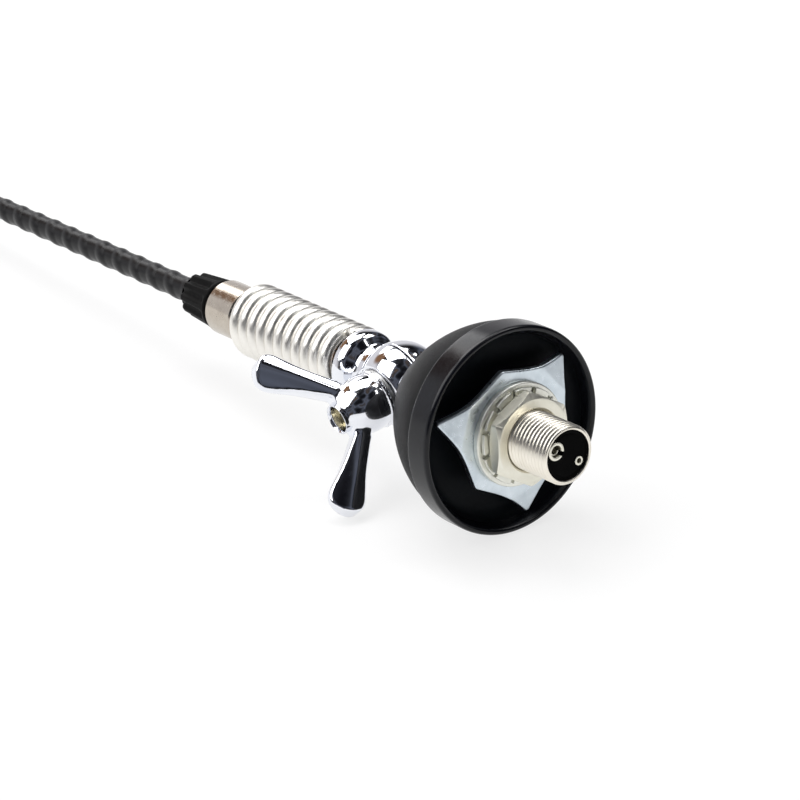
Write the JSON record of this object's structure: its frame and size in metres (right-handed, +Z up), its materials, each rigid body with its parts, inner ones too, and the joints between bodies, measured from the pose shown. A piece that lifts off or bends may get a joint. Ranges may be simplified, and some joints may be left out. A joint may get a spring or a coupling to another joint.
{
  "type": "cb antenna",
  "caption": "Short vehicle-roof whip mast on a coil spring and a wing-nut tilt joint, with a bell base, rubber rim and threaded stud with inner contacts.",
  "frame": {"origin": "centre of the threaded stud's free end, 17 mm below the roof plane", "axes": "+Z up the mast, -Y towards the wing nut of the tilt joint, +X completes the set"},
  "size_m": [0.0422, 0.0493, 0.3218],
  "materials": {
    "bell": "fine-grained matte black moulding",
    "rim_rubber": "glossy black rubber",
    "stud_plate": "warm nickel-plated brass, fine thread",
    "insulator": "black moulded insulator",
    "contact_plate": "plated brass contact",
    "feed_brass": "plain brass rod",
    "chrome": "polished chrome on cast zinc",
    "zinc": "bluish zinc-plated steel",
    "steel_washer": "plain steel",
    "nut_nickel": "nickel-plated nut",
    "bolt_steel": "plated steel",
    "spring_nickel": "warm nickel-plated spring steel",
    "braid_copper": "tinned copper braid",
    "collar_nickel": "bright nickel",
    "seal_rubber": "black rubber",
    "knob_plastic": "satin black moulding",
    "ferrule_brass": "turned brass",
    "rod_fibre": "glass-fibre rod",
    "winding_copper": "enamelled copper wire",
    "sleeve_black": "black shrunk sleeve over the winding",
    "cap_rubber": "black end cap"
  },
  "bodies": {
    "base": {"base_bell": "bell", "rim_gasket": "rim_rubber", "stud": "stud_plate", "stud_insulator": "insulator", "live_contact": "contact_plate", "earth_contact": "contact_plate", "feed_rod": "feed_brass", "lower_knuckle": "chrome", "pivot_bolt": "bolt_steel"},
    "clamp_stack": {"claw_washer": "zinc", "flat_washer": "zinc", "lock_washer": "steel_washer"},
    "clamp_nut": {"clamp_nut": "nut_nickel"},
    "pivot_washer": {"pivot_washer": "steel_washer"},
    "wing_nut": {"wing_nut": "chrome"},
    "mast_foot": {"upper_knuckle": "chrome", "spring": "spring_nickel", "bonding_braid": "braid_copper"},
    "mast_collar": {"collar": "collar_nickel"},
    "knob_seal": {"knob_seal": "seal_rubber"},
    "whip": {"knob": "knob_plastic", "ferrule": "ferrule_brass", "whip_rod": "rod_fibre", "whip_winding": "winding_copper", "whip_sleeve": "sleeve_black", "whip_cap": "cap_rubber"}
  },
  "joints": [
    {"name": "clamp_travel", "type": "slide", "parent": "base", "child": "clamp_stack", "axis": [0, 0, -1], "range_m": [0, 0.009]},
    {"name": "clamp_nut_turn", "type": "hinge", "parent": "clamp_stack", "child": "clamp_nut", "pos_m": [0, 0, 0.012], "axis": [0, 0, -1], "range_deg": [0, 3241]},
    {"name": "wing_travel", "type": "slide", "parent": "base", "child": "pivot_washer", "axis": [0, -1, 0], "range_m": [0, 0.0016]},
    {"name": "wing_nut_turn", "type": "hinge", "parent": "pivot_washer", "child": "wing_nut", "pos_m": [0, -0.01, 0.052], "axis": [0, -1, 0], "range_deg": [0, 721]},
    {"name": "mast_tilt", "type": "hinge", "parent": "base", "child": "mast_foot", "pos_m": [0, 0, 0.052], "axis": [0, 1, 0], "range_deg": [-90, 90]},
    {"name": "spring_flex", "type": "hinge", "parent": "mast_foot", "child": "mast_collar", "pos_m": [0, 0, 0.0846], "axis": [1, 0, 0], "range_deg": [-40, 40], "stiffness_Nm_per_rad": 1.5, "deforming": ["spring", "bonding_braid"]},
    {"name": "whip_travel", "type": "slide", "parent": "mast_collar", "child": "knob_seal", "axis": [0, 0, 1], "range_m": [0, 0.0072]},
    {"name": "whip_turn", "type": "hinge", "parent": "knob_seal", "child": "whip", "pos_m": [0, 0, 0.115], "axis": [0, 0, 1], "range_deg": [0, 3241]}
  ],
  "couplings": [
    {"joint": "clamp_nut_turn", "follows": "clamp_travel", "rad_per_m": 6283.2},
    {"joint": "wing_nut_turn", "follows": "wing_travel", "rad_per_m": 7854},
    {"joint": "whip_turn", "follows": "whip_travel", "rad_per_m": 7854}
  ]
}
